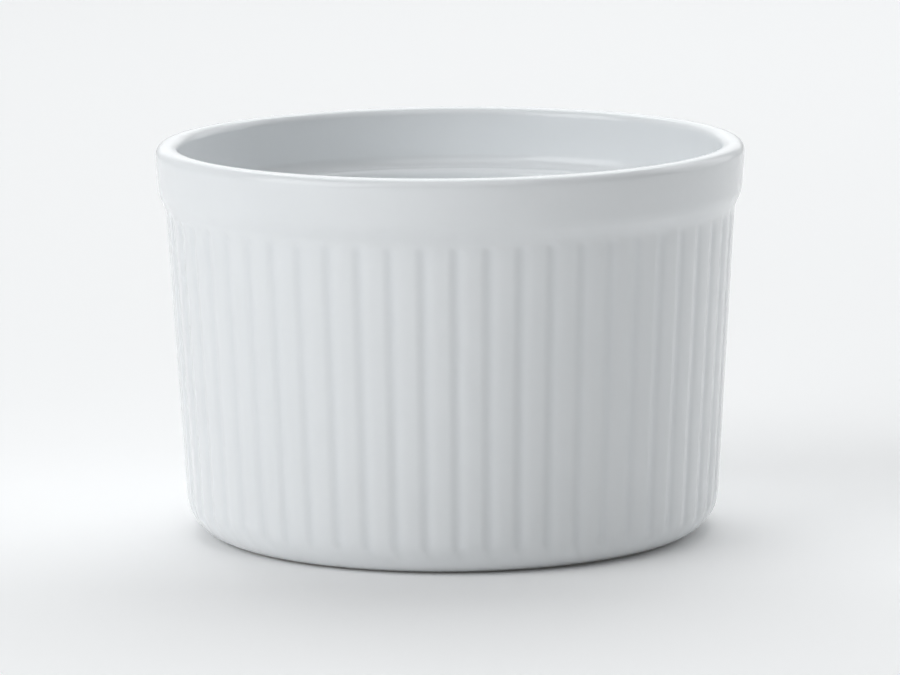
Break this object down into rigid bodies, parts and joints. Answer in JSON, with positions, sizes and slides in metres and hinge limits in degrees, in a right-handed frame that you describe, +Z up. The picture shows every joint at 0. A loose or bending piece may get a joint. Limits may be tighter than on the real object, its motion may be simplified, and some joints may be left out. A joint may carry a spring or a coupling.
{
  "type": "ramekin",
  "caption": "Round porcelain ramekin with near-straight fluted sides, a plain collar under a rounded lip, an inner stacking ledge and a bare foot ring.",
  "frame": {"origin": "centre of the foot ring's underside, on the dish's axis", "axes": "+Z up along the dish's axis, towards the open mouth; +X and +Y across the rim, with a groove centred on +X"},
  "size_m": [0.09, 0.09, 0.06],
  "materials": {
    "white_glaze": "glossy"
  },
  "bodies": {
    "root": {"dish_body": "white_glaze"}
  },
  "joints": []
}
